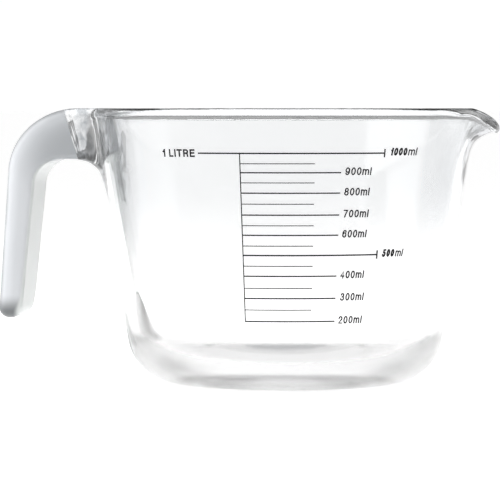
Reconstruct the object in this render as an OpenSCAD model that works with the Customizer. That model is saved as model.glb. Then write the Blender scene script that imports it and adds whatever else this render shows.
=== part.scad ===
/* [Bowl] */
// Height of the jug, from the surface it stands on to the top of the rim
rim_h = 108.4; // [95:0.1:130]
// Radius of the outer wall, carried up straight to the level of the rim
rim_r = 75; // [68:0.1:90]
// Lean of the outer wall from the vertical, in degrees
wall_lean = 8; // [4:0.1:12]
// Thickness of the wall, square to it
wall_t = 4.3; // [3:0.1:6]
// Thickness of the glass under the flat floor
floor_t = 8.5; // [6:0.1:12]
// Radius of the outer corner between the wall and the base
corner_r = 20.5; // [14:0.1:24]
// Radius of the inner corner between the wall and the floor
inner_corner_r = 16; // [10:0.1:22]
// How far the bead under the rim stands out from the wall
bead_out = 0.9; // [0.4:0.1:1.6]
// Height of the rim with its bead
bead_h = 4.2; // [4.1:0.1:8]
// Radius of the shallow hollow under the base
punt_r = 33; // [20:0.5:36]
// Depth of the shallow hollow under the base
punt_d = 1.2; // [0.5:0.1:2.5]

/* [Spout] */
// How far the pouring lip reaches out past the wall
spout_reach = 8.5; // [5:0.1:12]
// How far the pouring lip droops below the rim
spout_drop = 6.4; // [3:0.1:8]
// Half of the sector that the spout is drawn out of, in degrees
spout_half_a = 33; // [26:1:40]
// Height of the wall that flares out into the spout
spout_h = 26.5; // [20:0.5:34]
// Thickness of the glass at the pouring lip
lip_t = 2.7; // [2.4:0.1:4]

/* [Handle] */
// Width of the handle across
handle_w = 30; // [22:0.5:36]
// Length of the level top between the rim and the bend
arm_len = 5.9; // [5:0.1:20]
// Height of the leg's lower end above the surface
leg_end_z = 25.4; // [18:0.1:40]
// Thickness of the leg just below the bend
leg_top_t = 10.9; // [8:0.1:13]
// Thickness of the leg at its lower end
leg_end_t = 10.1; // [7:0.1:11]
// Outward lean of the leg's back from the vertical, in degrees
leg_lean = 4; // [0:0.1:6]
// Length of the back's bend along the level top
bend_x = 28.2; // [18:0.1:32]
// Height of the back's bend
bend_z = 26; // [20:0.1:32]
// Thickness of the level arm under the rim
arm_t = 20.1; // [14:0.1:22]
// Radius of the bend inside the hook
hook_r = 11; // [6:0.1:12]
// Radius of the fillet where the arm's underside meets the wall
root_r = 10; // [8:0.1:16]
// Radius of the fillets that widen the arm, seen from above, where it meets the wall
flare_r = 16; // [8:0.5:20]
// Radius of the rounded edges along the back of the handle
back_edge_r = 4.2; // [2:0.1:6]
// Radius of the edges along the inner face of the handle
inner_edge_r = 1.4; // [0.8:0.1:3]
// Radius that rounds the inner face into the leg's lower end
end_r = 5.2; // [2:0.1:6]
// Distance from the rim to the satin grip, along the top
grip_start = 11.4; // [9:0.1:20]
// Slant of the grip's start towards the bowl, from the top down, in degrees
grip_slant = 16.5; // [0:0.5:20]

/* [Scale] */
// Height of the line for 200 ml above the surface
scale_low_z = 28; // [26:0.1:34]
// How far the line for 1 litre lies below the top of the rim
litre_down = 16.9; // [12:0.1:24]
// Thickness of the fired enamel
enamel_t = 0.12; // [0.08:0.01:0.2]
// Width of the litre and half litre lines
long_line_w = 0.56; // [0.4:0.01:0.9]
// Width of the lines for full hundreds
hundred_line_w = 0.5; // [0.3:0.01:0.8]
// Width of the lines for fifties
fifty_line_w = 0.34; // [0.2:0.01:0.6]
// Width of the upright line that carries the others
spine_w = 0.42; // [0.3:0.01:0.8]
// Height of the small cross stroke that ends a long line
end_stroke_h = 3.2; // [2:0.1:5]

/* [Hidden] */
// Azimuth of the upright line, in degrees from the spout
spine_a = -97.6;
// Azimuth where the litre line starts, in degrees
litre_left_a = -110.8;
// Azimuth where the litre and half litre lines end, in degrees
long_right_a = -53.2;
// Azimuth where the lines for full hundreds end, in degrees
hundred_right_a = -67;
// Azimuth where the lines for fifties end, in degrees
fifty_right_a = -75.1;

// One line for each fifty millilitres, from the litre down to 200 ml
level_shares = [
    1, 0.939, 0.886, 0.826, 0.765, 0.70, 0.635, 0.572, 0.515,
    0.451, 0.395, 0.331, 0.271, 0.199, 0.138, 0.069, 0
];
// Volumes in millilitres
full_ml = 1000;
half_ml = 500;
hundred_ml = 100;
step_ml = 50;
scale_span = rim_h - litre_down - scale_low_z;

glass_colour = [0.86, 0.91, 0.92, 0.5];
handle_colour = [0.74, 0.77, 0.80, 0.7];
enamel_colour = [0.05, 0.05, 0.05];

// Reach of the cutting shapes past what they cut
overrun = 4;
// Steps of the drawn curves
corner_steps = 14;
wall_steps = 9;
fade_steps = 4;
cap_steps = 10;
spout_steps = 30;
round_steps = 5;
// Number of sides of a full turn
fine = 128;

// The wall and its bead
wall_slope = tan(wall_lean);
wall_run = wall_t / cos(wall_lean);
cap_r = (wall_t + bead_out) / 2;
wall_top_z = rim_h - cap_r - (wall_t - bead_out) / 2 * sin(wall_lean);
spout_z = rim_h - spout_h;
bead_from = (rim_h - bead_h - spout_z) / (wall_top_z - spout_z);
// Height over which the bead's lower edge swells out of the wall
bead_fade = 1.2;
bead_fade_most_share = 0.9;
bead_fade_share = min(bead_fade / (wall_top_z - spout_z), bead_fade_most_share * (1 - bead_from));

// The spout's curve runs up the wall and then out: the powers, which have no unit, set how late it turns
reach_power = 4.2;
drop_power = 2.1;
notch_power = 1.2;
notch_share = 0.49;
notch_round_share = 0.1;

// The punt's flank
punt_flank = punt_d * 3;

// Slope of the root's tail against the upright, in degrees
root_tail_a = 17;
// The handle's root
root_gap_share = 0.6;
root_fit_share = 0.9;
root_in = 8;
root_edge_r = 2.4;
root_under_r = 16;
arm_even_share = 0.7;
tip_share = 0.52;
tip_back_share = 0.42;
edge_share = 0.47;
root_steps = 3;
tail_steps = 3;
fillet_steps = 7;
bend_steps = 12;
leg_steps = 8;
end_steps = 5;

function level_ml(i) = full_ml - i * step_ml;
function level_z(i) = scale_low_z + level_shares[i] * scale_span;
function outer_r(z) = rim_r - (rim_h - z) * wall_slope;
function inner_r(z) = outer_r(z) - wall_run;
function smooth(q) = let (s = min(1, max(0, q))) s * s * (3 - 2 * s);
function arc(c, r, a0, a1, n) =
    [for (i = [0 : n]) let (a = a0 + (a1 - a0) * i / n) c + r * [cos(a), sin(a)]];

// Centre of an arc of radius r that touches the level z and the wall line of the given radius function
function outer_corner() =
    let (x = outer_r(corner_r) - corner_r / cos(wall_lean)) [x, corner_r];
function inner_corner() =
    let (z = floor_t + inner_corner_r) [inner_r(z) - inner_corner_r / cos(wall_lean), z];

// Points up the outer wall, round the rim and down the inner wall; reach and drop bend it into the spout
function wall_line(u, reach, drop) =
    let (z = spout_z + u * (wall_top_z - spout_z))
    [outer_r(z) + reach * pow(max(u, 0), reach_power), z - drop * pow(max(u, 0), drop_power)];
function wall_normal(u, reach, drop) =
    let (
        du = 0.01,
        t = wall_line(u + du, reach, drop) - wall_line(u - du, reach, drop)
    )
    [-t[1], t[0]] / norm(t);
function glass_t(u, reach) = wall_t - (wall_t - lip_t) * reach / spout_reach * u * u;
function bead_at(u) = bead_out * smooth((u - bead_from) / bead_fade_share);
function wall_steps_u() = concat(
    [for (i = [0 : wall_steps]) bead_from * sqrt(i / wall_steps)],
    [for (i = [1 : fade_steps]) bead_from + bead_fade_share * i / fade_steps],
    [1]
);
function outer_side(us, reach, drop) =
    [for (u = us) wall_line(u, reach, drop) - bead_at(u) * wall_normal(u, reach, drop)];
function inner_side(us, reach, drop) =
    [for (u = us) wall_line(u, reach, drop) + glass_t(u, reach) * wall_normal(u, reach, drop)];
function rim_cap(a, b, n) =
    let (c = (a + b) / 2, v = a - c)
    [for (i = [1 : n - 1]) let (t = 180 * i / n)
        [c[0] + v[0] * cos(t) - v[1] * sin(t), c[1] + v[0] * sin(t) + v[1] * cos(t)]];
function flip(list) = [for (i = [len(list) - 1 : -1 : 0]) list[i]];
function from_second(list) = [for (i = [1 : len(list) - 1]) list[i]];
function rim_section(reach, drop) =
    let (
        us = wall_steps_u(),
        out = outer_side(us, reach, drop),
        inn = from_second(inner_side(us, reach, drop)),
        cap = rim_cap(out[len(out) - 1], inn[len(inn) - 1], cap_steps)
    )
    concat(out, cap, flip(inn), [[inner_r(spout_z), spout_z]]);

// The same rim, with only the points of the wall that bend
function rim_outline() =
    let (
        us = [for (u = wall_steps_u()) if (u > bead_from + bead_fade_share / wall_steps) u],
        out = concat([wall_line(bead_from, 0, 0)], outer_side(us, 0, 0)),
        top = inner_side([1], 0, 0)
    )
    concat(out, rim_cap(out[len(out) - 1], top[0], cap_steps), top);

function base_outline() = concat(
    [[0, punt_d], [punt_r - punt_flank, punt_d], [punt_r, 0]],
    arc(outer_corner(), corner_r, -90, -wall_lean, corner_steps)
);
function floor_outline() = concat(
    arc(inner_corner(), inner_corner_r, -wall_lean, -90, corner_steps),
    [[0, floor_t]]
);
function bowl_outline() = concat(base_outline(), rim_outline(), floor_outline());
function solid_outline() = concat(base_outline(), rim_outline(), [[0, rim_h - cap_r]]);

// How far the spout is drawn out at the azimuth share t, from 0 at its middle to 1 at its side
function reach_at(t) = spout_reach * pow(cos(90 * t), 2);

// How far the crest rises where the wall leans out; the drop takes it back, so the rim stays level
function crest_rise(reach, drop) =
    let (
        n = wall_normal(1, reach, drop),
        t = glass_t(1, reach)
    )
    (t - bead_out) / 2 * n[1] + (t + bead_out) / 2 - (rim_h - wall_top_z);
function crest_lift(reach) = crest_rise(reach, crest_rise(reach, 0));
function drop_at(t) =
    let (q = (sqrt(t * t + notch_round_share * notch_round_share) - notch_round_share) / notch_share)
    spout_drop * pow(max(0, 1 - q), notch_power) + crest_lift(reach_at(t));
function ring_points(section, a) =
    [for (p = section) [p[0] * cos(a), p[0] * sin(a), p[1]]];
function strip(n, k, i, j) =
    let (a = k * n + i, b = k * n + (i + 1) % n, c = (k + 1) * n + (i + 1) % n, d = (k + 1) * n + i)
    j == 0 ? [a, b, c] : [a, c, d];
function skin(n, rings) = concat(
    [for (k = [0 : rings - 2], i = [0 : n - 1], j = [0, 1]) strip(n, k, i, j)],
    [[for (i = [n - 1 : -1 : 0]) i]],
    [[for (i = [0 : n - 1]) (rings - 1) * n + i]]
);

module spout() {
    shares = [for (k = [0 : spout_steps]) 2 * k / spout_steps - 1];
    rings = [for (t = shares)
        ring_points(rim_section(reach_at(abs(t)), drop_at(abs(t))), t * spout_half_a)];
    color(glass_colour)
        polyhedron(
            points = [for (r = rings, p = r) p],
            faces = skin(len(rings[0]), len(rings)),
            convexity = 6
        );
}

// The sector of the wall that the spout takes up
module spout_sector() {
    far = (rim_r + spout_reach) / cos(spout_half_a);
    translate([0, 0, spout_z])
        linear_extrude(height = spout_h + overrun)
            polygon([
                [0, 0],
                [far * cos(spout_half_a), -far * sin(spout_half_a)],
                [far * cos(spout_half_a), far * sin(spout_half_a)]
            ]);
}

module bowl() {
    color(glass_colour)
        difference() {
            rotate_extrude($fn = fine) polygon(bowl_outline());
            spout_sector();
        }
}

// The handle's side view: a back curve and an inner curve, both from the root to the leg's end
arm_end_x = rim_r + arm_len;
leg_back_x = arm_end_x + bend_x;
bend_low_z = rim_h - bend_z;
arm_under_z = rim_h - arm_t;
leg_in_x = leg_back_x - leg_top_t;
hook = [leg_in_x - hook_r, arm_under_z - hook_r];
hook_e = hook[0] - outer_r(arm_under_z);
root_fit_r = min(root_r, root_fit_share * hook_e);
root_gap = root_fit_r * sin(root_tail_a) * root_gap_share;
root = [outer_r(arm_under_z - root_fit_r) + root_gap + root_fit_r, arm_under_z - root_fit_r];
// The tail of the root leaves the fillet at tail_top and dies out on the wall at tail_low
tail_top = root - root_fit_r * [cos(root_tail_a), -sin(root_tail_a)];
tail_drop = (tail_top[0] - outer_r(tail_top[1])) / (tan(root_tail_a) - wall_slope);
tail_low = [outer_r(tail_top[1] - tail_drop), tail_top[1] - tail_drop];
tip_r = min(end_r, leg_end_t * tip_share);
tip_back_r = min(back_edge_r, leg_end_t * tip_back_share);
// Seen from above, a fillet of radius flare_r widens the arm into the wall
flare_e = sqrt(pow(rim_r + flare_r, 2) - pow(handle_w / 2 + flare_r, 2)) - rim_r;
flare_low_e = (flare_e + rim_r) * rim_r / (rim_r + flare_r) - rim_r;

function back_leg_x(z) = leg_back_x + (bend_low_z - z) * tan(leg_lean);
function inner_leg_x(z) =
    let (low = back_leg_x(leg_end_z) - leg_end_t)
    leg_in_x + (low - leg_in_x) * (hook[1] - z) / (hook[1] - leg_end_z);

// Half width and back point of the arm at the distance e out from the wall
function flare_curve(e) =
    handle_w / 2 + flare_r - sqrt(max(0, flare_r * flare_r - (flare_e - e) * (flare_e - e)));
function arm_half_w(e) =
    e > flare_e ? handle_w / 2 :
    e > flare_low_e ? flare_curve(e) :
    flare_curve(flare_low_e) - (flare_low_e - e);
function arm_back_x(e, e_end) =
    let (
        e_part = min(e, arm_even_share * arm_len),
        e_rest = max(e_end - e_part, e_end / leg_steps)
    )
    rim_r + e_part + (e - e_part) * (arm_len - e_part) / e_rest;

// One station of the handle: back point, inner point, half width, back and inner edge radii
function arm_station(p) =
    let (
        e = p[0] - outer_r(p[1]),
        near = smooth(1 - e / flare_e)
    )
    [[arm_back_x(e, hook_e), rim_h], p, arm_half_w(e),
        back_edge_r + (root_edge_r - back_edge_r) * near,
        inner_edge_r + (root_under_r - inner_edge_r) * near];
function bend_station(q) =
    [[arm_end_x + bend_x * sin(90 * q), bend_low_z + bend_z * cos(90 * q)],
        hook + hook_r * [sin(90 * q), cos(90 * q)], handle_w / 2, back_edge_r, inner_edge_r];
function leg_station(q) =
    let (
        zb = bend_low_z + (leg_end_z + tip_back_r - bend_low_z) * q,
        zi = hook[1] + (leg_end_z + tip_r - hook[1]) * q
    )
    [[back_leg_x(zb), zb], [inner_leg_x(zi), zi], handle_w / 2, back_edge_r, inner_edge_r];
function end_station(q) =
    let (
        in = 1 - cos(90 * q),
        up = 1 - sin(90 * q),
        zb = leg_end_z + tip_back_r * up,
        zi = leg_end_z + tip_r * up
    )
    [[back_leg_x(zb) - tip_back_r * in, zb], [inner_leg_x(zi) + tip_r * in, zi],
        handle_w / 2 - tip_back_r * in, back_edge_r, inner_edge_r];
function stations() = concat(
    [for (i = [root_steps : -1 : 1]) arm_station(tail_low - [root_in * i / root_steps, 0])],
    [for (i = [0 : tail_steps - 1]) arm_station(tail_low + (tail_top - tail_low) * i / tail_steps)],
    [for (p = arc(root, root_fit_r, 180 - root_tail_a, 90, fillet_steps)) arm_station(p)],
    [for (i = [0 : bend_steps]) bend_station(i / bend_steps)],
    [for (i = [1 : leg_steps]) leg_station(i / leg_steps)],
    [for (i = [1 : end_steps]) end_station(i / end_steps)]
);

// The section at a station, as [across, up from the inner point towards the back point]
function section(h, w, rb, ri) =
    let (b = min(rb, h * edge_share), i = min(ri, h * edge_share))
    concat(
        arc([w - b, h - b], b, 0, 90, round_steps),
        arc([b - w, h - b], b, 90, 180, round_steps),
        arc([i - w, i], i, 180, 270, round_steps),
        arc([w - i, i], i, 270, 360, round_steps)
    );
function station_ring(s) =
    let (
        up = s[0] - s[1],
        h = norm(up),
        d = up / h
    )
    [for (p = section(h, s[2], s[3], s[4]))
        [-(s[1][0] + d[0] * p[1]), p[0], s[1][1] + d[1] * p[1]]];

module handle_sweep() {
    rings = [for (s = stations()) station_ring(s)];
    polyhedron(
        points = [for (r = rings, p = r) p],
        faces = skin(len(rings[0]), len(rings)),
        convexity = 6
    );
}

// The whole handle, cut to the wall and the bead that it grows from
module handle_body() {
    difference() {
        handle_sweep();
        rotate_extrude($fn = fine) polygon(solid_outline());
        translate([0, 0, rim_h - cap_r])
            cylinder(r = rim_r + bead_out / 2, h = cap_r + overrun, $fn = fine);
    }
}

// The space on the grip's side of a slanted plane across the arm
module grip_side() {
    high_z = rim_h + overrun;
    low_z = leg_end_z - overrun;
    high_x = rim_r + grip_start + overrun * tan(grip_slant);
    low_x = high_x - (high_z - low_z) * tan(grip_slant);
    far_x = back_leg_x(low_z) + overrun;
    rotate([90, 0, 0])
        linear_extrude(height = handle_w + 2 * overrun, center = true)
            polygon([[-high_x, high_z], [-far_x, high_z], [-far_x, low_z], [-low_x, low_z]]);
}

module handle_root() {
    color(glass_colour)
        difference() {
            handle_body();
            grip_side();
        }
}

module handle() {
    color(handle_colour)
        intersection() {
            handle_body();
            grip_side();
        }
}

// A patch of enamel on the outer wall, between two azimuths and two heights
module enamel_patch(from_a, to_a, low_z, high_z) {
    rotate_extrude(angle = to_a - from_a, start = from_a, $fn = fine)
        polygon([
            [outer_r(low_z), low_z],
            [outer_r(low_z) + enamel_t, low_z],
            [outer_r(high_z) + enamel_t, high_z],
            [outer_r(high_z), high_z]
        ]);
}

function is_long(i) = level_ml(i) == full_ml || level_ml(i) == half_ml;
function is_hundred(i) = level_ml(i) % hundred_ml == 0;
function line_w(i) = is_long(i) ? long_line_w : is_hundred(i) ? hundred_line_w : fifty_line_w;
function right_a(i) = is_long(i) ? long_right_a : is_hundred(i) ? hundred_right_a : fifty_right_a;
function arc_a(w, z) = 360 * w / (2 * PI * outer_r(z));
last = len(level_shares) - 1;
spine_low_z = level_z(last) - line_w(last) / 2;
spine_high_z = level_z(0) - line_w(0) / 2;
spine_half_a = arc_a(spine_w, level_z(0)) / 2;

module scale_spine() {
    color(enamel_colour)
        enamel_patch(spine_a - spine_half_a, spine_a + spine_half_a, spine_low_z, spine_high_z);
}

// The space on one side of a line, from before its start up to its cross stroke
module beside_line(from_a, to_a, low_z, high_z) {
    before_a = arc_a(overrun, low_z);
    rotate_extrude(angle = to_a - from_a + before_a, start = from_a - before_a, $fn = fine)
        translate([outer_r(low_z) - overrun, low_z])
            square([2 * overrun, high_z - low_z]);
}

module mark(i) {
    z = level_z(i);
    w = line_w(i);
    from = level_ml(i) == full_ml ? litre_left_a : spine_a + spine_half_a;
    color(enamel_colour)
        if (is_long(i))
            difference() {
                enamel_patch(from, right_a(i) + arc_a(w, z), z - end_stroke_h / 2, z + end_stroke_h / 2);
                beside_line(from, right_a(i), z + w / 2, z + end_stroke_h);
                beside_line(from, right_a(i), z - end_stroke_h, z - w / 2);
            }
        else
            enamel_patch(from, right_a(i), z - w / 2, z + w / 2);
}

bowl();
spout();
handle_root();
handle();
scale_spine();
mark(0);  // mark_1000_ml
mark(1);  // mark_950_ml
mark(2);  // mark_900_ml
mark(3);  // mark_850_ml
mark(4);  // mark_800_ml
mark(5);  // mark_750_ml
mark(6);  // mark_700_ml
mark(7);  // mark_650_ml
mark(8);  // mark_600_ml
mark(9);  // mark_550_ml
mark(10);  // mark_500_ml
mark(11);  // mark_450_ml
mark(12);  // mark_400_ml
mark(13);  // mark_350_ml
mark(14);  // mark_300_ml
mark(15);  // mark_250_ml
mark(16);  // mark_200_ml
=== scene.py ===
"""The looks of a one litre measuring jug: one pressed glass body, a satin grip and a fired black scale."""
import math

import bmesh
import bpy
import numpy as np
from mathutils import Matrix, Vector


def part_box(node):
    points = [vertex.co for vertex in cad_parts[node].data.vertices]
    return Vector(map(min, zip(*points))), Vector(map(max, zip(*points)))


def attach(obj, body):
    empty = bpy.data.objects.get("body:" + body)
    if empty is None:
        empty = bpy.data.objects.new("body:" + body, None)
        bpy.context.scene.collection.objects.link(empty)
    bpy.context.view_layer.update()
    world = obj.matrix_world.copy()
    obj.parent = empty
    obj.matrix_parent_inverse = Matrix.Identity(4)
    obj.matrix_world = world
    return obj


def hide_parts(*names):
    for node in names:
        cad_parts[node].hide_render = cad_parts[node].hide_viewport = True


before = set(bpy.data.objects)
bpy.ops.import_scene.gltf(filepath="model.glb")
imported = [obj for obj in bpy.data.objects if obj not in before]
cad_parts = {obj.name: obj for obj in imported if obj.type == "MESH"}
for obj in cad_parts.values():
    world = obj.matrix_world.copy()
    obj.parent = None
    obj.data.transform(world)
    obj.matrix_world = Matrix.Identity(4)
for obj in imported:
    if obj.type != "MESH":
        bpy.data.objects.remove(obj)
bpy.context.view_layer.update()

# Sizes below are in millimetres, and a mesh is scaled to metres when it is made
MM = 0.001

# Bowl, with the same sizes as the solids, but for the bead: its lower edge is 0.45 mm higher, and sharper
RIM_H = 108.4
RIM_R = 75.0
WALL_LEAN = math.radians(8)
WALL_T = 4.3
FLOOR_T = 8.5
CORNER_R = 20.5
INNER_CORNER_R = 16.0
BEAD_OUT = 0.9
BEAD_H = 3.75
BEAD_FADE_H = 0.85
PUNT_R = 33.0
PUNT_D = 1.2
# The hollow's side runs inwards by this many times its depth
PUNT_SIDE_RUN = 3.0

# Spout
SPOUT_REACH = 8.5
SPOUT_DROP = 6.4
SPOUT_HALF_A = math.radians(33)
SPOUT_H = 26.5
LIP_T = 2.7
REACH_POWER = 4.2
DROP_POWER = 2.1
NOTCH_POWER = 1.2
NOTCH_SHARE = 0.49
NOTCH_ROUND_SHARE = 0.1
# The spout's own section counts from this much below it, and outside this radius
SPOUT_MARGIN = 2.0
SPOUT_FROM_R = 0.75 * RIM_R

# Handle
HANDLE_W = 30.0
ARM_LEN = 5.9
LEG_END_Z = 25.4
LEG_TOP_T = 10.9
LEG_END_T = 10.1
LEG_LEAN = math.radians(4)
BEND_X = 28.2
BEND_Z = 26.0
ARM_T = 20.1
HOOK_R = 11.0
BACK_EDGE_R = 4.2
INNER_EDGE_R = 1.4
END_R = 5.2
ROOT_R = 10.0
ROOT_TAIL_A = math.radians(17)
ROOT_GAP_SHARE = 0.6
ROOT_EDGE_R = 2.4
ROOT_UNDER_R = 16.0
FLARE_R = 16.0
# The handle keeps to this side of the bowl
HANDLE_SIDE_X = -RIM_R / 4

# The satin grip starts at a slanted plane across the arm, with a hair's breadth between it and the glass
GRIP_START = 11.4
GRIP_SLANT = math.radians(16.5)
GRIP_TOP_X = -(RIM_R + GRIP_START)
GRIP_LOW_X = GRIP_TOP_X + ARM_T * math.tan(GRIP_SLANT)
GRIP_GAP = 0.04

# The drawn surface lies this far inside the solids
SKIN_IN = 0.02

# Derived places
SLOPE = math.tan(WALL_LEAN)
CAP_R = (WALL_T + BEAD_OUT) / 2
WALL_TOP_Z = RIM_H - CAP_R - (WALL_T - BEAD_OUT) / 2 * math.sin(WALL_LEAN)
SPOUT_Z = RIM_H - SPOUT_H
BEAD_FROM = (RIM_H - BEAD_H - SPOUT_Z) / (WALL_TOP_Z - SPOUT_Z)
BEAD_FADE = BEAD_FADE_H / (WALL_TOP_Z - SPOUT_Z)
LEG_BACK_X = RIM_R + ARM_LEN + BEND_X
ARM_END_X = LEG_BACK_X - BEND_X
BEND_LOW_Z = RIM_H - BEND_Z
ARM_UNDER_Z = RIM_H - ARM_T
LEG_IN_X = LEG_BACK_X - LEG_TOP_T
HOOK_X = LEG_IN_X - HOOK_R
HOOK_Z = ARM_UNDER_Z - HOOK_R
FLARE_E = math.sqrt((RIM_R + FLARE_R) ** 2 - (HANDLE_W / 2 + FLARE_R) ** 2) - RIM_R
FLARE_LOW_E = (FLARE_E + RIM_R) * RIM_R / (RIM_R + FLARE_R) - RIM_R


def outer_r(z):
    return RIM_R - (RIM_H - z) * SLOPE


def inner_r(z):
    return outer_r(z) - WALL_T / math.cos(WALL_LEAN)


def smooth(q):
    s = np.clip(q, 0, 1)
    return s * s * (3 - 2 * s)


def arc(cx, cy, rx, ry, from_a, to_a, steps):
    """Points along an elliptical arc, with its angles in degrees."""
    a = np.radians(np.linspace(from_a, to_a, steps + 1))
    return np.stack([cx + rx * np.cos(a), cy + ry * np.sin(a)], axis=1)


def signed_distance(x, y, outline):
    """Distance to a closed outline, negative inside. Each corner is a pair of numbers or of arrays."""
    best = np.full(x.shape, np.inf)
    inside = np.zeros(x.shape, bool)
    for (ax, ay), (bx, by) in zip(outline, np.roll(outline, -1, axis=0)):
        ex, ey = bx - ax, by - ay
        length = np.maximum(ex * ex + ey * ey, 1e-12)
        t = np.clip(((x - ax) * ex + (y - ay) * ey) / length, 0, 1)
        best = np.minimum(best, (x - ax - t * ex) ** 2 + (y - ay - t * ey) ** 2)
        run = np.where(np.abs(ey) < 1e-12, 1e-12, ey)
        inside ^= ((ay > y) != (by > y)) & (x < ax + ex * (y - ay) / run)
    return np.where(inside, -1, 1) * np.sqrt(best)


def rounded_both(a, b, r):
    """Where both fields are negative, with its edge rounded to the radius r."""
    ra, rb = a + r, b + r
    return np.minimum(np.maximum(ra, rb), 0) + np.hypot(np.maximum(ra, 0), np.maximum(rb, 0)) - r


# The rim's section, bent by the spout's reach and drop, which may be arrays. Along the wall, u goes from 0
# where the spout starts to 1 at the wall's top
def wall_line(u, reach, drop):
    z = SPOUT_Z + u * (WALL_TOP_Z - SPOUT_Z)
    up = max(u, 0)
    return np.array([outer_r(z) + reach * up**REACH_POWER, z - drop * up**DROP_POWER])


def wall_normal(u, reach, drop, du=0.01):
    t = wall_line(u + du, reach, drop) - wall_line(u - du, reach, drop)
    return np.array([-t[1], t[0]]) / np.hypot(t[0], t[1])


def glass_t(u, reach):
    return WALL_T - (WALL_T - LIP_T) * reach / SPOUT_REACH * max(u, 0) ** 2


def rim_section(reach, drop, steps=14, fade_steps=8, cap_steps=18, from_u=-0.5):
    """The wall from below the spout up round the rim and down inside, as a closed outline."""
    us = [from_u, *BEAD_FROM * np.sqrt(np.linspace(0, 1, steps + 1))]
    us += list(BEAD_FROM + BEAD_FADE * np.linspace(0, 1, fade_steps + 1)[1:]) + [1]
    out, back = [], []
    for u in us:
        line, normal = wall_line(u, reach, drop), wall_normal(u, reach, drop)
        out.append(line - BEAD_OUT * smooth((u - BEAD_FROM) / BEAD_FADE) * normal)
        back.append(line + glass_t(u, reach) * normal)
    centre, spoke = (out[-1] + back[-1]) / 2, (out[-1] - back[-1]) / 2
    cap = []
    for t in np.linspace(0, math.pi, cap_steps + 1)[1:-1]:
        turned = np.array([-spoke[1], spoke[0]])
        cap.append(centre + spoke * math.cos(t) + turned * math.sin(t))
    return np.array(out + cap + back[::-1])


def plain_section():
    """Half of the bowl's section away from the spout, as a closed outline."""
    steps = 40
    corner_x = outer_r(CORNER_R) - CORNER_R / math.cos(WALL_LEAN)
    corner_to = -math.degrees(WALL_LEAN)
    base = arc(corner_x, CORNER_R, CORNER_R, CORNER_R, -90, corner_to, steps)
    floor_z = FLOOR_T + INNER_CORNER_R
    floor_x = inner_r(floor_z) - INNER_CORNER_R / math.cos(WALL_LEAN)
    floor = arc(floor_x, floor_z, INNER_CORNER_R, INNER_CORNER_R, corner_to, -90, steps)
    rim = rim_section(0.0, 0.0)[1:-1]
    # The outline reaches past the axis, so that the distance near the axis ignores it
    far = -CORNER_R
    punt = [[far, PUNT_D], [PUNT_R - PUNT_SIDE_RUN * PUNT_D, PUNT_D], [PUNT_R, 0]]
    return np.concatenate([punt, base, rim, floor, [[far, FLOOR_T]]])


class SectionTable:
    """Distances to the plain section on a fine grid, read between its points."""

    def __init__(self, step=0.2, reach=92.0, low=-6.0, high=116.0):
        self.step, self.low = step, low
        self.r = np.arange(0, reach, step)
        self.z = np.arange(low, high, step)
        rr, zz = np.meshgrid(self.r, self.z, indexing="ij")
        self.field = signed_distance(rr, zz, plain_section())

    def __call__(self, r, z):
        # Kept just short of the last line of points, so that there is always a next one
        short = 1.001
        i = np.clip(r / self.step, 0, len(self.r) - short)
        k = np.clip((z - self.low) / self.step, 0, len(self.z) - short)
        i0, k0 = i.astype(int), k.astype(int)
        across, up = i - i0, k - k0
        f = self.field
        near = f[i0, k0] * (1 - up) + f[i0, k0 + 1] * up
        far = f[i0 + 1, k0] * (1 - up) + f[i0 + 1, k0 + 1] * up
        return near * (1 - across) + far * across


def reach_at(t):
    return SPOUT_REACH * np.cos(math.pi / 2 * t) ** 2


def crest_rise(reach, drop):
    """How far the crest rises where the wall leans out: the drop takes it back."""
    level, thick = wall_normal(1, reach, drop)[1], glass_t(1, reach)
    return (thick - BEAD_OUT) / 2 * level + (thick + BEAD_OUT) / 2 - (RIM_H - WALL_TOP_Z)


def drop_at(t):
    q = (np.sqrt(t * t + NOTCH_ROUND_SHARE**2) - NOTCH_ROUND_SHARE) / NOTCH_SHARE
    reach = reach_at(t)
    return SPOUT_DROP * np.maximum(0, 1 - q) ** NOTCH_POWER + crest_rise(reach, crest_rise(reach, 0 * reach))


section_table = SectionTable()


def bowl_field(x, y, z):
    r = np.hypot(x, y)
    field = section_table(r, z)
    t = np.abs(np.arctan2(y, x)) / SPOUT_HALF_A
    drawn = (t < 1) & (z > SPOUT_Z - SPOUT_MARGIN) & (r > SPOUT_FROM_R)
    if drawn.any():
        outline = rim_section(reach_at(t[drawn]), drop_at(t[drawn]))
        field[drawn] = signed_distance(r[drawn], z[drawn], outline)
    return field


def inner_outline():
    """The space in side view that lies on the handle's side of its inner curve, from the root's tail on."""
    root_z = ARM_UNDER_Z - ROOT_R
    root_x = outer_r(root_z) + ROOT_R * math.sin(ROOT_TAIL_A) * ROOT_GAP_SHARE + ROOT_R
    root = arc(-root_x, root_z, ROOT_R, ROOT_R, math.degrees(ROOT_TAIL_A), 90, steps=24)
    top_x, top_z = -root[0, 0], root[0, 1]
    tail_z = top_z - (top_x - outer_r(top_z)) / (math.tan(ROOT_TAIL_A) - SLOPE)
    low_x = LEG_BACK_X + (BEND_LOW_Z - LEG_END_Z) * math.tan(LEG_LEAN) - LEG_END_T
    corner_x = low_x + END_R
    hook = arc(-HOOK_X, HOOK_Z, HOOK_R, HOOK_R, 90, 180, steps=24)
    end = arc(-corner_x, LEG_END_Z + END_R, END_R, END_R, 0, -90, steps=10)
    far = 2 * RIM_R
    return np.concatenate([
        [[far, tail_z], [-outer_r(tail_z), tail_z]], root, hook, end,
        [[-2 * far, LEG_END_Z], [-2 * far, 2 * far], [far, 2 * far]],
    ])


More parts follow.
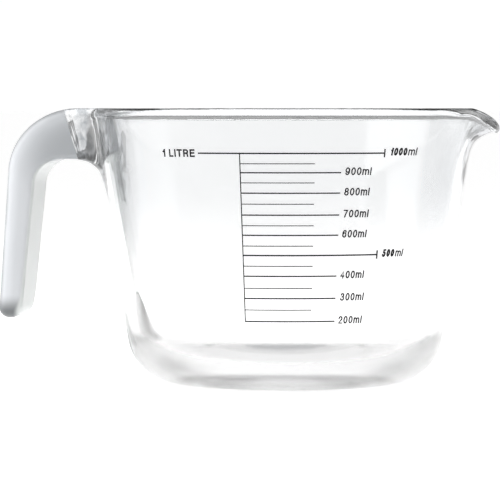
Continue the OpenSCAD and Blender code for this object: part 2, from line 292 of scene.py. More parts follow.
def back_outline():
    """The space in side view inside the handle's back curve and under the rim's level."""
    bend = arc(-ARM_END_X, BEND_LOW_Z, BEND_X, BEND_Z, 90, 180, steps=40)
    far = 2 * RIM_R
    foot_x = LEG_BACK_X + (BEND_LOW_Z + far) * math.tan(LEG_LEAN)
    return np.concatenate([[[far, RIM_H]], bend, [[-foot_x, -far], [far, -far]]])


INNER_OUTLINE = inner_outline()
BACK_OUTLINE = back_outline()


def handle_field(x, y, z, inner, back):
    """The handle, whose root flares and softens towards the wall that it grows from."""
    away = np.hypot(x, y) - outer_r(z)
    flare = np.clip(FLARE_E - away, 0, FLARE_E - FLARE_LOW_E)
    half_w = HANDLE_W / 2 + FLARE_R - np.sqrt(FLARE_R**2 - flare**2)
    near_wall = smooth(1 - away / FLARE_E)
    near_end = smooth((LEG_END_Z + 2 * END_R - z) / (2 * END_R))
    edge = INNER_EDGE_R + (END_R - INNER_EDGE_R) * near_end + (ROOT_UNDER_R - INNER_EDGE_R) * near_wall
    arm = rounded_both(inner, np.abs(y) - half_w, edge)
    body = rounded_both(arm, back, BACK_EDGE_R + (ROOT_EDGE_R - BACK_EDGE_R) * near_wall)
    # Inside the wall it ends at the rim's crest
    crest = -(away * math.cos(WALL_LEAN) + (WALL_T - BEAD_OUT) / 2)
    return np.maximum(np.maximum(body, crest), x - HANDLE_SIDE_X)


def jug_field(x, y, z, inner=None, back=None):
    """The whole jug. The distances to the handle's two outlines are worked out unless they are given."""
    if inner is None:
        inner = signed_distance(x, z, INNER_OUTLINE)
        back = signed_distance(x, z, BACK_OUTLINE)
    return np.minimum(bowl_field(x, y, z), handle_field(x, y, z, inner, back)) + SKIN_IN


def grid_line(*stops):
    """Points from the first stop on, each stretch given by its end and its step."""
    points = [stops[0]]
    for end, step in stops[1:]:
        count = math.ceil((end - points[-1]) / step)
        points += list(np.linspace(points[-1], end, count + 1)[1:])
    return np.array(points)


def surface_nets(field, xs, ys, zs):
    """Vertices and quads of the field's zero surface, one vertex in each cell that it crosses."""
    inside = field < 0
    cells = tuple(n - 1 for n in field.shape)
    count = np.zeros(cells, np.int8)
    for di, dj, dk in np.ndindex(2, 2, 2):
        count += inside[di:di + cells[0], dj:dj + cells[1], dk:dk + cells[2]]
    active = np.argwhere((count > 0) & (count < 8))
    index = np.full(cells, -1)
    index[tuple(active.T)] = np.arange(len(active))
    total = np.zeros((len(active), 3))
    crossings = np.zeros(len(active))
    lines = (xs, ys, zs)
    for axis in range(3):
        others = [a for a in range(3) if a != axis]
        for da, db in np.ndindex(2, 2):
            low = active.copy()
            low[:, others[0]] += da
            low[:, others[1]] += db
            high = low.copy()
            high[:, axis] += 1
            f0, f1 = field[tuple(low.T)], field[tuple(high.T)]
            crossed = (f0 < 0) != (f1 < 0)
            t = np.where(crossed, f0 / np.where(crossed, f0 - f1, 1), 0)
            for a in range(3):
                p0, p1 = lines[a][low[:, a]], lines[a][high[:, a]]
                total[:, a] += np.where(crossed, p0 + t * (p1 - p0), 0)
            crossings += crossed
    quads = []
    for axis in range(3):
        b, c = (axis + 1) % 3, (axis + 2) % 3
        first = np.moveaxis(inside, (axis, b, c), (0, 1, 2))
        ids = np.moveaxis(index, (axis, b, c), (0, 1, 2))
        edges = np.argwhere(first[:-1, 1:-1, 1:-1] != first[1:, 1:-1, 1:-1])
        i, j, k = edges[:, 0], edges[:, 1] + 1, edges[:, 2] + 1
        ring = np.stack([ids[i, j - 1, k - 1], ids[i, j, k - 1], ids[i, j, k], ids[i, j - 1, k]], axis=1)
        starts_in = first[i, j, k]
        ring[~starts_in] = ring[~starts_in][:, ::-1]
        quads.append(ring)
    return total / crossings[:, None], np.concatenate(quads)


def slope_of(points, step=0.15, least=0.05):
    """The field's gradient at the points, by differences, and its length squared, kept from zero."""
    columns = []
    for axis in range(3):
        shift = np.zeros(3)
        shift[axis] = step
        ahead, behind = points + shift, points - shift
        columns.append((jug_field(*ahead.T) - jug_field(*behind.T)) / (2 * step))
    slope = np.stack(columns, axis=1)
    return slope, np.maximum((slope**2).sum(1), least)


def settle(points, quads, rounds=4, even_share=0.5, most=0.5):
    """Evens the vertices out along the surface and moves them onto it, in short moves."""
    for n in range(rounds):
        slope, steep = slope_of(points)
        normal = slope / np.sqrt(steep)[:, None]
        if n < rounds - 1:
            a, b = quads.ravel(), np.roll(quads, -1, axis=1).ravel()
            total = np.zeros_like(points)
            for axis in range(3):
                total[:, axis] = np.bincount(a, points[b, axis], len(points))
                total[:, axis] += np.bincount(b, points[a, axis], len(points))
            near = np.bincount(a, minlength=len(points)) + np.bincount(b, minlength=len(points))
            drift = (total / near[:, None] - points) * even_share
            points = points + drift - normal * (drift * normal).sum(1)[:, None]
            slope, steep = slope_of(points)
        move = slope * (jug_field(*points.T) / steep)[:, None]
        size = np.sqrt((move**2).sum(1))
        points = points - move * np.minimum(1, most / np.maximum(size, 1e-9))[:, None]
    return points


# The grid that finds the glass's surface: where it starts along each axis, then each stretch's end and step.
# It is finer where the glass curves more
GRID_X = (-115.0, (-64, 0.95), (60, 1.9), (89, 0.8))
GRID_Y = (-77.6, (-36, 1.9), (36, 0.95), (77.6, 1.9))
GRID_Z = (
    -1.5, (23, 1.15), (36, 1.0), (66, 1.9), (96, 1.2), (103, 0.8), (107.3, 0.5), (108.8, 1.5), (110, 1.2),
)


def jug_surface():
    """The whole jug as one closed surface."""
    xs, ys, zs = grid_line(*GRID_X), grid_line(*GRID_Y), grid_line(*GRID_Z)
    x, y, z = np.meshgrid(xs, ys, zs, indexing="ij")
    xz = np.meshgrid(xs, zs, indexing="ij")
    inner = signed_distance(*xz, INNER_OUTLINE)[:, None, :]
    back = signed_distance(*xz, BACK_OUTLINE)[:, None, :]
    field = jug_field(x, y, z, inner, back)
    points, quads = surface_nets(field, xs, ys, zs)
    return settle(points, quads), quads


def mesh_object(name, points, faces):
    mesh = bpy.data.meshes.new(name)
    mesh.from_pydata((np.asarray(points) * MM).tolist(), [], np.asarray(faces).tolist())
    mesh.validate()
    obj = bpy.data.objects.new(name, mesh)
    bpy.context.scene.collection.objects.link(obj)
    return obj


def cut_off(obj, at, normal):
    """Keeps the part of a closed mesh behind a plane, and closes it there with a crisp flat face."""
    bm = bmesh.new()
    bm.from_mesh(obj.data)
    everything = bm.verts[:] + bm.edges[:] + bm.faces[:]
    cut = bmesh.ops.bisect_plane(
        bm, geom=everything, dist=1e-7, plane_co=at, plane_no=normal, clear_outer=True
    )["geom_cut"]
    rim = [e for e in cut if isinstance(e, bmesh.types.BMEdge)]
    bmesh.ops.triangle_fill(bm, use_beauty=True, edges=rim, normal=normal)
    for edge in rim:
        edge.smooth = False
    bmesh.ops.recalc_face_normals(bm, faces=bm.faces)
    bm.to_mesh(obj.data)
    bm.free()


def glass_pieces():
    """The clear jug with the handle's root, and the satin grip that goes on from there."""
    points, quads = jug_surface()
    jug = mesh_object("jug_glass", points, quads)
    jug.data.shade_smooth()
    grip = bpy.data.objects.new("handle_grip", jug.data.copy())
    bpy.context.scene.collection.objects.link(grip)
    top, low = Vector((GRIP_TOP_X, 0, RIM_H)), Vector((GRIP_LOW_X, 0, ARM_UNDER_Z))
    outwards = (top - low).cross(Vector((0, 1, 0))).normalized()
    if outwards.x > 0:
        outwards.negate()
    middle = (top + low) / 2
    cut_off(jug, middle * MM, outwards)
    cut_off(grip, (middle + outwards * GRIP_GAP) * MM, -outwards)
    mark_depth(grip)
    return jug, grip


def mark_depth(grip):
    """Stores how deep each point lies inside the handle's back curve, in millimetres, for the highlight and
    shade painted into its material.
    """
    places = np.array([v.co for v in grip.data.vertices]) / MM
    depth = -signed_distance(places[:, 0], places[:, 2], BACK_OUTLINE)
    grip.data.attributes.new("back_depth", "FLOAT", "POINT").data.foreach_set("value", depth)


# Materials
class Nodes:
    """A short way to write the node tree of a material or a world."""

    def __init__(self, owner):
        owner.use_nodes = True
        self.owner = owner
        self.tree = owner.node_tree
        self.tree.nodes.clear()

    def add(self, kind, links=None, **settings):
        """A node with inputs linked. A setting that the node itself doesn't have is an input's own value."""
        node = self.tree.nodes.new(kind)
        for key, value in settings.items():
            if hasattr(node, key):
                setattr(node, key, value)
            else:
                node.inputs[key.replace("_", " ")].default_value = value
        for key, source in (links or {}).items():
            self.tree.links.new(source, node.inputs[key])
        return node

    def finish(self, shader, kind="ShaderNodeOutputMaterial"):
        self.add(kind, {"Surface": shader})
        return self.owner


def noise(nodes, place, scale, detail):
    return nodes.add("ShaderNodeTexNoise", {"Vector": place}, Scale=scale, Detail=detail).outputs[0]


def bump(nodes, height, distance, strength=1.0, over=None):
    """A bumpy normal, with its distance in metres. It can lie over another one."""
    links = {"Height": height}
    if over is not None:
        links["Normal"] = over
    return nodes.add("ShaderNodeBump", links, Strength=strength, Distance=distance).outputs[0]


def maths(nodes, operation, *values):
    """A sum on sockets and plain numbers."""
    node = nodes.add("ShaderNodeMath", operation=operation)
    for socket, value in zip(node.inputs, values):
        if isinstance(value, float):
            socket.default_value = value
        else:
            nodes.tree.links.new(value, socket)
    return node.outputs[0]


def product(nodes, first, *others):
    for other in others:
        first = maths(nodes, "MULTIPLY", first, other)
    return first


def fade(nodes, value, near, far, at_near=1.0, at_far=0.0, kind="SMOOTHSTEP"):
    """A step from one number to another as a value goes from near to far, soft unless it is linear."""
    step = nodes.add(
        "ShaderNodeMapRange", {"Value": value}, interpolation_type=kind,
        From_Min=near, From_Max=far, To_Min=at_near, To_Max=at_far,
    )
    return step.outputs[0]


def spot(nodes, place, centre, full, end, strength=1.0):
    """A soft round spot about a point of the object, as a factor that falls to nothing."""
    away = nodes.add("ShaderNodeVectorMath", {0: place}, operation="DISTANCE")
    away.inputs[1].default_value = centre
    return fade(nodes, away.outputs["Value"], full, end, strength)


def blended(nodes, factor, first, second):
    """One colour going over to another; each is a socket or a plain colour."""
    mix = nodes.add("ShaderNodeMix", {"Factor": factor}, data_type="RGBA")
    for name, colour in (("A", first), ("B", second)):
        socket = next(i for i in mix.inputs if i.name == name and i.type == "RGBA")
        if isinstance(colour, tuple):
            socket.default_value = (*colour, 1)
        else:
            nodes.tree.links.new(colour, socket)
    return next(o for o in mix.outputs if o.type == "RGBA")


def colour_ramp(nodes, value, stops):
    """A ramp of colours over a value, given as pairs of a place and a colour."""
    ramp = nodes.add("ShaderNodeValToRGB", {0: value})
    elements = ramp.color_ramp.elements
    while len(elements) < len(stops):
        elements.new(0.5)
    for element, (at, colour) in zip(elements, stops):
        element.position = at
        element.color = (*colour, 1)
    return ramp.outputs[0]


def brightness_ramp(nodes, value, stops, tint=(1, 1, 1)):
    """A ramp of brightness over a value, given as pairs of a place and a brightness."""
    return colour_ramp(nodes, value, [(at, [bright * share for share in tint]) for at, bright in stops])


GLASS_IOR = 1.48

# Where the glass is uneven, in metres: round the handle's root and in the spout, with the ripples' height.
# All of it is very slightly wavy
ROOT_AT, ROOT_FULL, ROOT_END, ROOT_RIPPLE_H = (-0.083, 0.0, 0.092), 0.014, 0.032, 0.001
SPOUT_AT, SPOUT_FULL, SPOUT_END, SPOUT_RIPPLE_H = (0.084, 0.0, 0.098), 0.01, 0.026, 0.0007
RIPPLE_SCALE, RIPPLE_DETAIL = 110.0, 0.6
WAVE_SCALE, WAVE_DETAIL, WAVE_H = 45.0, 2.0, 0.00003

# The mould leaves the base hazy up to these heights. The walls above it are a little greyer, and painted
# shade darkens them where they are seen along their surface, most at the rim, the spout and the root
HAZE, HAZE_FULL_Z, HAZE_END_Z = 0.14, 0.016, 0.04
TONE_FROM_Z, TONE_FULL_Z = 0.04, 0.08
BASE_TINT, WALL_TINT = (1.0, 1.0, 1.0), (0.950, 0.956, 0.960)
EDGE_SHADE_TINT, RIM_SHADE_TINT = (0.64, 0.655, 0.67), (0.26, 0.27, 0.29)
EDGE_FROM, EDGE_FULL = 0.2, 0.85
RIM_FROM_Z, RIM_FULL_Z = 0.1015, 0.1045

# Painted shade: a mottled grey band where the root meets the wall, a faint grey patch on the wall below it,
# and the round place in the middle of the floor that looks grey through the base
BAND_X, BAND_FULL, BAND_END = -0.0785, 0.0015, 0.005
BAND_Y_FULL, BAND_Y_END, BAND_Z_FROM, BAND_Z_FULL = 0.016, 0.024, 0.084, 0.09
MOTTLE_SCALE, MOTTLE_DETAIL, MOTTLE_FROM, MOTTLE_FULL, MOTTLE_LEAST = 240.0, 2.0, 0.38, 0.58, 0.4
BAND_SHADE_TINT, PATCH_SHADE_TINT = (0.45, 0.47, 0.49), (0.8, 0.81, 0.82)
PATCH_AT, PATCH_FULL, PATCH_END = (-0.066, -0.024, 0.083), 0.003, 0.015
LENS_AT, LENS_FULL, LENS_END, LENS_SHADE_TINT = (0.0, 0.0, 0.0085), 0.0165, 0.019, (0.55, 0.56, 0.58)


def clear_glass():
    nodes = Nodes(bpy.data.materials.new("clear_glass"))
    place = nodes.add("ShaderNodeTexCoord").outputs["Object"]
    split = nodes.add("ShaderNodeSeparateXYZ", {"Vector": place}).outputs
    root = spot(nodes, place, ROOT_AT, ROOT_FULL, ROOT_END, ROOT_RIPPLE_H)
    spout = spot(nodes, place, SPOUT_AT, SPOUT_FULL, SPOUT_END, SPOUT_RIPPLE_H)
    ripple = noise(nodes, place, RIPPLE_SCALE, RIPPLE_DETAIL)
    waves = bump(nodes, noise(nodes, place, WAVE_SCALE, WAVE_DETAIL), WAVE_H)
    uneven = bump(nodes, product(nodes, ripple, maths(nodes, "ADD", root, spout)), 1.0, over=waves)

    tone = fade(nodes, split["Z"], TONE_FROM_Z, TONE_FULL_Z, 0.0, 1.0)
    # Painted shade: the glass is greyer where it is seen along its surface, darkest at the rim, the root and
    # the spout
    rim = fade(nodes, split["Z"], RIM_FROM_Z, RIM_FULL_Z, 0.0, 1.0)
    edge = blended(nodes, rim, EDGE_SHADE_TINT, RIM_SHADE_TINT)
    for sizes in ((ROOT_AT, ROOT_FULL, ROOT_END), (SPOUT_AT, SPOUT_FULL, SPOUT_END)):
        edge = blended(nodes, spot(nodes, place, *sizes), edge, RIM_SHADE_TINT)
    facing = nodes.add("ShaderNodeLayerWeight").outputs["Facing"]
    wall = blended(nodes, fade(nodes, facing, EDGE_FROM, EDGE_FULL, 0.0, 1.0), WALL_TINT, edge)
    colour = blended(nodes, tone, BASE_TINT, wall)
    # Painted shade where the middle of the floor is seen through the base
    colour = blended(nodes, spot(nodes, place, LENS_AT, LENS_FULL, LENS_END), colour, LENS_SHADE_TINT)

    # Painted shade: a mottled grey band where the root meets the wall, and a faint grey patch below it
    off_band = maths(nodes, "ABSOLUTE", maths(nodes, "SUBTRACT", split["X"], BAND_X))
    off_middle = maths(nodes, "ABSOLUTE", split["Y"])
    mottle = noise(nodes, place, MOTTLE_SCALE, MOTTLE_DETAIL)
    band = product(
        nodes, fade(nodes, off_band, BAND_FULL, BAND_END), fade(nodes, off_middle, BAND_Y_FULL, BAND_Y_END),
        fade(nodes, split["Z"], BAND_Z_FROM, BAND_Z_FULL, 0.0, 1.0),
        fade(nodes, mottle, MOTTLE_FROM, MOTTLE_FULL, MOTTLE_LEAST, 1.0),
    )
    colour = blended(nodes, band, colour, BAND_SHADE_TINT)
    colour = blended(nodes, spot(nodes, place, PATCH_AT, PATCH_FULL, PATCH_END), colour, PATCH_SHADE_TINT)
    haze = fade(nodes, split["Z"], HAZE_FULL_Z, HAZE_END_Z, HAZE, 0.0)
    shader = nodes.add(
        "ShaderNodeBsdfPrincipled", {"Base Color": colour, "Normal": uneven, "Roughness": haze},
        IOR=GLASS_IOR, Transmission_Weight=1.0,
    )
    return nodes.finish(shader.outputs[0])


# The satin's own pale grey with a painted highlight near the back edge and painted shade farther in, by its
# depth from the back curve, as a share of the arm's thickness
SATIN_SHADE_STOPS = [(0.0, 0.5), (0.03, 0.58), (0.08, 0.86), (0.2, 0.88), (0.29, 0.8), (0.5, 0.74), (1.0, 0.7)]
SATIN_TINT = (0.96, 0.985, 1.02)
# The painted shade drifts a little in soft clouds, by this many millimetres of depth either way
CLOUD_SCALE, CLOUD_DETAIL, CLOUD_DRIFT = 60.0, 3.0, 0.6
# Painted light on the side of the leg that faces the bowl, told by how far its normal points that way
INNER_LIGHT_TINT, INNER_FROM, INNER_FULL = (0.86, 0.89, 0.875), 0.2, 0.7
# Painted shade where the grip is darker, in metres: low beside the root, and at the leg's end
LOW_AT, LOW_FULL, LOW_END, LOW_SHADE_TINT = (-0.082, 0.0, 0.088), 0.016, 0.028, (0.46, 0.48, 0.50)
TIP_FULL_Z, TIP_END_Z, TIP_SHADE_TINT = 0.0275, 0.035, (0.16, 0.17, 0.175)
GRAIN_SCALE, GRAIN_DETAIL, GRAIN_H, GRAIN_STRENGTH = 2200.0, 2.0, 0.00003, 0.3


def satin_glass():
    nodes = Nodes(bpy.data.materials.new("satin_glass"))
    coordinates = nodes.add("ShaderNodeTexCoord").outputs
    place = coordinates["Object"]
    depth = nodes.add("ShaderNodeAttribute", attribute_name="back_depth").outputs["Fac"]
    # Painted highlight near the back edge and painted shade farther in, over the grip's own grey
    cloud = noise(nodes, place, CLOUD_SCALE, CLOUD_DETAIL)
    drift = fade(nodes, cloud, 0.0, 1.0, -CLOUD_DRIFT, CLOUD_DRIFT, "LINEAR")
    across = maths(nodes, "DIVIDE", maths(nodes, "ADD", depth, drift), ARM_T)
    colour = brightness_ramp(nodes, across, SATIN_SHADE_STOPS, SATIN_TINT)
    # Painted shade low beside the root and at the leg's end
    colour = blended(nodes, spot(nodes, place, LOW_AT, LOW_FULL, LOW_END), colour, LOW_SHADE_TINT)
    height = nodes.add("ShaderNodeSeparateXYZ", {"Vector": place}).outputs["Z"]
    colour = blended(nodes, fade(nodes, height, TIP_FULL_Z, TIP_END_Z), colour, TIP_SHADE_TINT)
    # Painted light on the side of the grip that faces the bowl
    inwards = nodes.add("ShaderNodeSeparateXYZ", {"Vector": coordinates["Normal"]}).outputs["X"]
    colour = blended(nodes, fade(nodes, inwards, INNER_FROM, INNER_FULL, 0.0, 1.0), colour, INNER_LIGHT_TINT)
    grain = bump(nodes, noise(nodes, place, GRAIN_SCALE, GRAIN_DETAIL), GRAIN_H, GRAIN_STRENGTH)
    shader = nodes.add(
        "ShaderNodeBsdfPrincipled", {"Base Color": colour, "Normal": grain}, Roughness=0.38, IOR=GLASS_IOR,
        Transmission_Weight=0.1, Coat_Weight=0.4, Coat_Roughness=0.2,
    )
    return nodes.finish(shader.outputs[0])


# The enamel's two blacks and its least and greatest roughness
INK_DARK, INK_PALE = (0.004, 0.004, 0.005), (0.016, 0.016, 0.018)
INK_ROUGH = (0.45, 0.65)
INK_SCALE, INK_DETAIL = 900.0, 3.0


def fired_enamel():
    nodes = Nodes(bpy.data.materials.new("fired_enamel"))
    place = nodes.add("ShaderNodeTexCoord").outputs["Object"]
    speck = noise(nodes, place, INK_SCALE, INK_DETAIL)
    colour = colour_ramp(nodes, speck, [(0, INK_DARK), (1, INK_PALE)])
    rough = fade(nodes, speck, 0.0, 1.0, *INK_ROUGH, "LINEAR")
    shader = nodes.add(
        "ShaderNodeBsdfPrincipled", {"Base Color": colour, "Roughness": rough}, Specular_IOR_Level=0.15,
    )
    return nodes.finish(shader.outputs[0])


# The camera, in millimetres: its azimuth towards the spout, its distance, how far aside and how high it
# stands, and the height that it aims at
VIEW_A = math.radians(6.6)
CAMERA_DISTANCE, CAMERA_ASIDE, CAMERA_H, CAMERA_AIM_H = 1300.0, -13.9, 108.5, 52.3
CAMERA_LENS = 236.7
# In the picture of 500 columns: the column of the bowl's axis, and how many columns a slope of one spans
AXIS_COLUMN, SLOPE_COLUMNS = 285.16, 3288
# The columns that the words, the figures and the letters ml span, from left to right, by their line
WORDS_COLUMNS = {1000: (162.6, 194.6)}
BOLD_COLUMNS = {1000: (390.3, 407.6), 500: (381.8, 394.6)}
BOLD_ML_COLUMNS = {1000: (408.0, 417.2), 500: (395.0, 403.0)}
LIGHT_COLUMNS = {
    900: (345, 371.4), 800: (344, 369.4), 700: (343, 368.4), 600: (342, 366.4),
    400: (340, 363.8), 300: (340, 363.6), 200: (338, 361.6),
}

# Printed figures, in millimetres: the height of a capital, the enamel's depth, the pens' widths, and how
# far all but the words at the left stand above their lines. A slant is sideways run for height
FIGURES_CAP_H = 2.95
FIGURES_T = 0.1
PEN_LIGHT = 0.5
PEN_UPRIGHT = 0.62
PEN_BOLD = 0.68
RISE = 0.5
SLANT_LIGHT = 0.09
SLANT_BOLD = 0.17
# Distances along the wall are laid out from this angle, fitted to the photograph. It is 0.6 degrees to the
# left of where the wall faces the camera
FACE_A = math.radians(-84)

# Each sign's width, and its strokes in a box one wide and one high. Widths, the gap between signs and the
# height of a small letter are shares of the height of a capital
SIGN_GAP = 0.15
X_HEIGHT = 0.74
SIGNS = {
    " ": (0.2, []),
    "0": (0.58, [arc(0.5, 0.5, 0.5, 0.5, 90, 450, 32)]),
    "1": (0.34, [[(0.1, 0.72), (0.7, 0.86), (1, 1)], [(1, 1), (1, 0)]]),
    "2": (0.58, [[*arc(0.5, 0.71, 0.48, 0.29, 175, -28, 18), (0.02, 0), (1, 0)]]),
    "3": (0.58, [arc(0.47, 0.75, 0.43, 0.25, 165, -90, 18), arc(0.47, 0.26, 0.51, 0.26, 90, -165, 18)]),
    "4": (0.60, [[(0.74, 0), (0.74, 1), (0, 0.28), (1, 0.28)]]),
    "5": (0.58, [[(0.92, 1), (0.2, 1), (0.1, 0.52), *arc(0.48, 0.32, 0.51, 0.33, 128, -160, 20)]]),
    "6": (0.58, [arc(0.5, 0.32, 0.5, 0.32, 90, 450, 26), arc(0.54, 0.5, 0.54, 0.5, 38, 200, 16)]),
    "7": (0.58, [[(0, 1), (1, 1), (0.62, 0.55), (0.34, 0)]]),
    "8": (0.58, [arc(0.5, 0.76, 0.42, 0.24, 90, 450, 24), arc(0.5, 0.27, 0.5, 0.27, 90, 450, 26)]),
    "9": (0.58, [arc(0.5, 0.68, 0.5, 0.32, 90, 450, 26), arc(0.46, 0.5, 0.54, 0.5, -142, 20, 16)]),
    "m": (0.86, [
        [(0, 0), (0, X_HEIGHT)],
        [*arc(0.25, X_HEIGHT - 0.25, 0.25, 0.25, 180, 0, 12), (0.5, 0)],
        [*arc(0.75, X_HEIGHT - 0.25, 0.25, 0.25, 180, 0, 12), (1, 0)],
    ]),
    "l": (0.12, [[(0.5, 0), (0.5, 1)]]),
    "I": (0.14, [[(0.5, 0), (0.5, 1)]]),
    "L": (0.50, [[(0, 1), (0, 0), (1, 0)]]),
    "T": (0.62, [[(0, 1), (1, 1)], [(0.5, 1), (0.5, 0)]]),
    "R": (0.60, [
        [(0, 0), (0, 1), *arc(0.6, 0.74, 0.36, 0.26, 90, -90, 14), (0, 0.48)],
        [(0.62, 0.48), (0.85, 0.38), (0.92, 0)],
    ]),
    "E": (0.56, [[(1, 1), (0, 1), (0, 0), (1, 0)], [(0, 0.53), (0.9, 0.53)]]),
}


def ribbon(line, pen, blunt=1.2):
    """The two edges of a stroke of the pen's width along a line, mitred at its corners, with square ends.

    A corner is left blunt where the sum of its two directions is shorter than the square root of blunt.
    """
    steps = np.diff(line, axis=0)
    steps /= np.maximum(np.hypot(*steps.T), 1e-9)[:, None]
    closed = np.allclose(line[0], line[-1])
    if not closed:
        line = np.vstack([line[0] - steps[0] * pen / 2, line[1:-1], line[-1] + steps[-1] * pen / 2])
    before = np.vstack([steps[-1] if closed else steps[0], steps])
    after = np.vstack([steps, steps[0] if closed else steps[-1]])
    across = np.stack([-(before + after)[:, 1], (before + after)[:, 0]], axis=1)
    across /= np.maximum((across**2).sum(1), blunt)[:, None] / 2
    return line + across * pen / 2, line - across * pen / 2


def lettering(text, height_z, left, right, pen, slant):
    """Points and faces of raised figures on the wall; left and right are distances along the wall."""
    widths = [SIGNS[sign][0] for sign in text]
    natural = sum(widths) + SIGN_GAP * (len(text) - 1)
    squeeze = (right - left - slant * FIGURES_CAP_H) / (natural * FIGURES_CAP_H)
    points, faces, start = [], [], 0.0
    for sign, width in zip(text, widths):
        for stroke in SIGNS[sign][1]:
            line = np.array(stroke) * [
                max(width * FIGURES_CAP_H * squeeze - pen, 0), FIGURES_CAP_H - pen,
            ] + [start * FIGURES_CAP_H * squeeze + pen / 2, pen / 2]
            line[:, 0] += left + slant * line[:, 1]
            line[:, 1] += height_z - FIGURES_CAP_H / 2
            edges = ribbon(line, pen)
            first, count = len(points), len(line)
            for edge, deep in ((0, 0), (1, 0), (1, FIGURES_T), (0, FIGURES_T)):
                along, up = edges[edge].T
                angle = FACE_A + along / outer_r(height_z)
                radius = outer_r(up) + deep
                points += list(np.stack([radius * np.cos(angle), radius * np.sin(angle), up], axis=1))
            for k in range(4):
                a, b = first + k * count, first + (k + 1) % 4 * count
                faces += [(a + i, a + i + 1, b + i + 1, b + i) for i in range(count - 1)]
            faces += [tuple(first + k * count + end for k in turn)
                      for end, turn in ((0, range(4)), (count - 1, range(3, -1, -1)))]
        start += width + SIGN_GAP
    return points, faces


def line_z(ml):
    low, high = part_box(f"mark_{ml}_ml")
    return (low.z + high.z) / 2 / MM


def arc_x(column, height_z):
    """Where a column of the picture falls along the wall, as a distance from where it faces the camera."""
    r = outer_r(height_z)
    k = (column - AXIS_COLUMN) / SLOPE_COLUMNS
    psi = math.asin(min(1, k * CAMERA_DISTANCE / math.hypot(r, k * r))) - math.atan(k)
    return psi * r


def figures():
    """All the figures and words of the scale as one piece."""
    rows = [(ml, "1 LITRE", span, 0, PEN_UPRIGHT, 0.0) for ml, span in WORDS_COLUMNS.items()]
    rows += [(ml, str(ml), span, RISE, PEN_BOLD, SLANT_BOLD) for ml, span in BOLD_COLUMNS.items()]
    rows += [(ml, "ml", span, RISE, PEN_LIGHT, SLANT_BOLD) for ml, span in BOLD_ML_COLUMNS.items()]
    rows += [(ml, f"{ml}ml", span, RISE, PEN_LIGHT, SLANT_LIGHT) for ml, span in LIGHT_COLUMNS.items()]
    points, faces = [], []
    for ml, text, (left, right), rise, pen, slant in rows:
        z = line_z(ml) + rise
        new_points, new_faces = lettering(text, z, arc_x(left, z), arc_x(right, z), pen, slant)
        faces += [tuple(len(points) + i for i in face) for face in new_faces]
        points += new_points
    return mesh_object("scale_figures", points, faces)


# The floor, in millimetres: its radius, and how far it lies below the jug
FLOOR_R = 100000.0
FLOOR_GAP = 0.05
FLOOR_DARK, FLOOR_PALE, FLOOR_SCALE, FLOOR_DETAIL = 0.90, 0.92, 0.8, 2.0
# Painted light: the floor's glow near the jug, where it lightens the jug's shadow, and farther off, with the
# distances in metres
GLOW_NEAR, GLOW_FAR, GLOW_FULL, GLOW_LEFT = 0.3, 0.9, 0.64, 0.48
# The dome's brightness from the horizon up, beside the jug, behind it and in front of it, and over which
# range of directions the last two come in. PLAIN is the background that the camera sees directly
PLAIN = (1.02, 1.02, 1.02)
BACK_SPREAD, FRONT_SPREAD = (0.8, 0.985), (-0.45, -0.9)
BACK_STOPS = [
    (0.0, 1.02), (0.045, 1.02), (0.075, 0.28), (0.2, 0.3), (0.3, 0.42), (0.42, 0.12), (0.55, 0.1),
    (0.7, 0.52), (0.85, 1.4), (0.95, 1.5),
]
SIDE_STOPS = [
    (0.0, 0.5), (0.045, 0.5), (0.1, 0.5), (0.25, 0.75), (0.4, 0.7), (0.55, 0.35), (0.7, 0.25),
    (0.87, 0.15), (0.95, 1.5),
]
FRONT_STOPS = [
    (0.0, 0.5), (0.045, 0.5), (0.1, 0.5), (0.3, 0.55), (0.5, 0.3), (0.7, 0.2), (0.87, 0.1), (0.95, 1.5),
]


def pale_floor():
    nodes = Nodes(bpy.data.materials.new("pale_floor"))
    place = nodes.add("ShaderNodeTexCoord").outputs["Object"]
    cloud = noise(nodes, place, FLOOR_SCALE, FLOOR_DETAIL)
    colour = brightness_ramp(nodes, cloud, [(0, FLOOR_DARK), (1, FLOOR_PALE)])
    away = nodes.add("ShaderNodeVectorMath", {0: place}, operation="LENGTH").outputs["Value"]
    # Painted light: the floor glows, most near the jug
    glow = fade(nodes, away, GLOW_NEAR, GLOW_FAR, GLOW_FULL, GLOW_LEFT)
    shader = nodes.add(
        "ShaderNodeBsdfPrincipled", {"Base Color": colour, "Emission Strength": glow}, Roughness=0.9,
        Specular_IOR_Level=0.1, Emission_Color=(1, 1, 1, 1),
    )
    return nodes.finish(shader.outputs[0])


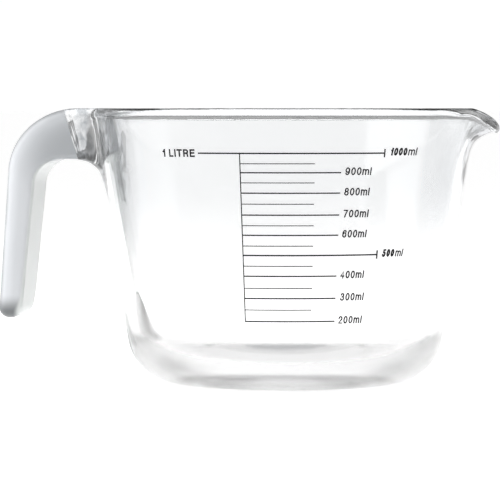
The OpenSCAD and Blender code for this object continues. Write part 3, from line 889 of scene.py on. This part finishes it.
def studio():
    """A round pale floor under a soft dome, with two dark bands behind the jug and a bright top."""
    steps = 96
    a = np.linspace(0, 2 * math.pi, steps, endpoint=False)
    disc = np.stack([FLOOR_R * np.cos(a), FLOOR_R * np.sin(a), np.full(steps, -FLOOR_GAP)], axis=1)
    floor = mesh_object("floor", disc, [list(range(steps))])
    floor.data.materials.append(pale_floor())

    world = bpy.data.worlds.new("dome")
    bpy.context.scene.world = world
    nodes = Nodes(world)
    way = nodes.add("ShaderNodeTexCoord").outputs["Generated"]
    height = nodes.add("ShaderNodeSeparateXYZ", {"Vector": way}).outputs["Z"]
    level = nodes.add("ShaderNodeVectorMath", {0: way}, operation="MULTIPLY")
    level.inputs[1].default_value = (1, 1, 0)
    unit = nodes.add("ShaderNodeVectorMath", {0: level.outputs[0]}, operation="NORMALIZE")
    ahead = nodes.add("ShaderNodeVectorMath", {0: unit.outputs[0]}, operation="DOT_PRODUCT")
    ahead.inputs[1].default_value = (-math.sin(VIEW_A), math.cos(VIEW_A), 0)
    shade = brightness_ramp(nodes, height, SIDE_STOPS)
    for stops, spread in ((BACK_STOPS, BACK_SPREAD), (FRONT_STOPS, FRONT_SPREAD)):
        share = fade(nodes, ahead.outputs["Value"], *spread, 0.0, 1.0)
        shade = blended(nodes, share, shade, brightness_ramp(nodes, height, stops))
    dome = nodes.add("ShaderNodeBackground", {"Color": shade}).outputs[0]
    # Seen directly, the background is plain white from every side
    plain = nodes.add("ShaderNodeBackground", Color=(*PLAIN, 1)).outputs[0]
    seen = nodes.add("ShaderNodeLightPath").outputs["Is Camera Ray"]
    either = nodes.add("ShaderNodeMixShader", {0: seen, 1: dome, 2: plain}).outputs[0]
    nodes.finish(either, "ShaderNodeOutputWorld")


# What the soft lights point at, in metres
LIGHTS_AIM = (0, 0, 0.06)


def soft_light(name, at, side, watts):
    """A square lamp that the camera doesn't see, with its place and side in metres."""
    data = bpy.data.lights.new(name, "AREA")
    data.shape = "SQUARE"
    data.size = side
    data.energy = watts
    lamp = bpy.data.objects.new(name, data)
    bpy.context.scene.collection.objects.link(lamp)
    lamp.visible_camera = False
    lamp.location = at
    lamp.rotation_mode = "QUATERNION"
    lamp.rotation_quaternion = (Vector(LIGHTS_AIM) - Vector(at)).to_track_quat("-Z", "Y")


def photo_camera():
    """The camera stands in front, a little towards the spout and level with the rim."""
    right = Vector((math.cos(VIEW_A), math.sin(VIEW_A), 0))
    ahead = Vector((-math.sin(VIEW_A), math.cos(VIEW_A), 0))
    pitch = math.atan((CAMERA_H - CAMERA_AIM_H) / CAMERA_DISTANCE)
    data = bpy.data.cameras.new("camera")
    camera = bpy.data.objects.new("camera", data)
    bpy.context.scene.collection.objects.link(camera)
    camera.location = (right * CAMERA_ASIDE - ahead * CAMERA_DISTANCE + Vector((0, 0, CAMERA_H))) * MM
    camera.rotation_mode = "QUATERNION"
    forward = ahead * math.cos(pitch) - Vector((0, 0, math.sin(pitch)))
    camera.rotation_quaternion = forward.to_track_quat("-Z", "Y")
    data.sensor_width = 36
    data.lens = CAMERA_LENS
    data.clip_end = 100
    bpy.context.scene.camera = camera


jug, grip = glass_pieces()
jug.data.materials.append(clear_glass())
grip.data.materials.append(satin_glass())
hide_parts("bowl", "spout", "handle_root")
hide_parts("handle")

ink = fired_enamel()
print_figures = figures()
print_figures.data.materials.append(ink)
for name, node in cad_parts.items():
    if name.startswith(("mark_", "scale_")):
        node.data.materials.clear()
        node.data.materials.append(ink)
for piece in (jug, grip, print_figures):
    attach(piece, "root")

studio()
soft_light("key", (-0.9, -0.5, 1.3), 0.9, 2.0)
soft_light("side", (-1.2, -0.2, 0.7), 1.4, 8.0)
soft_light("fill", (1.1, 0.6, 0.7), 1.3, 4.0)
photo_camera()
bpy.context.scene.view_settings.view_transform = "Standard"

# Light goes round many times inside the thick base before it leaves
paths = bpy.context.scene.cycles
paths.max_bounces = 32
paths.glossy_bounces = 24
paths.transmission_bounces = 32

bpy.context.view_layer.update()
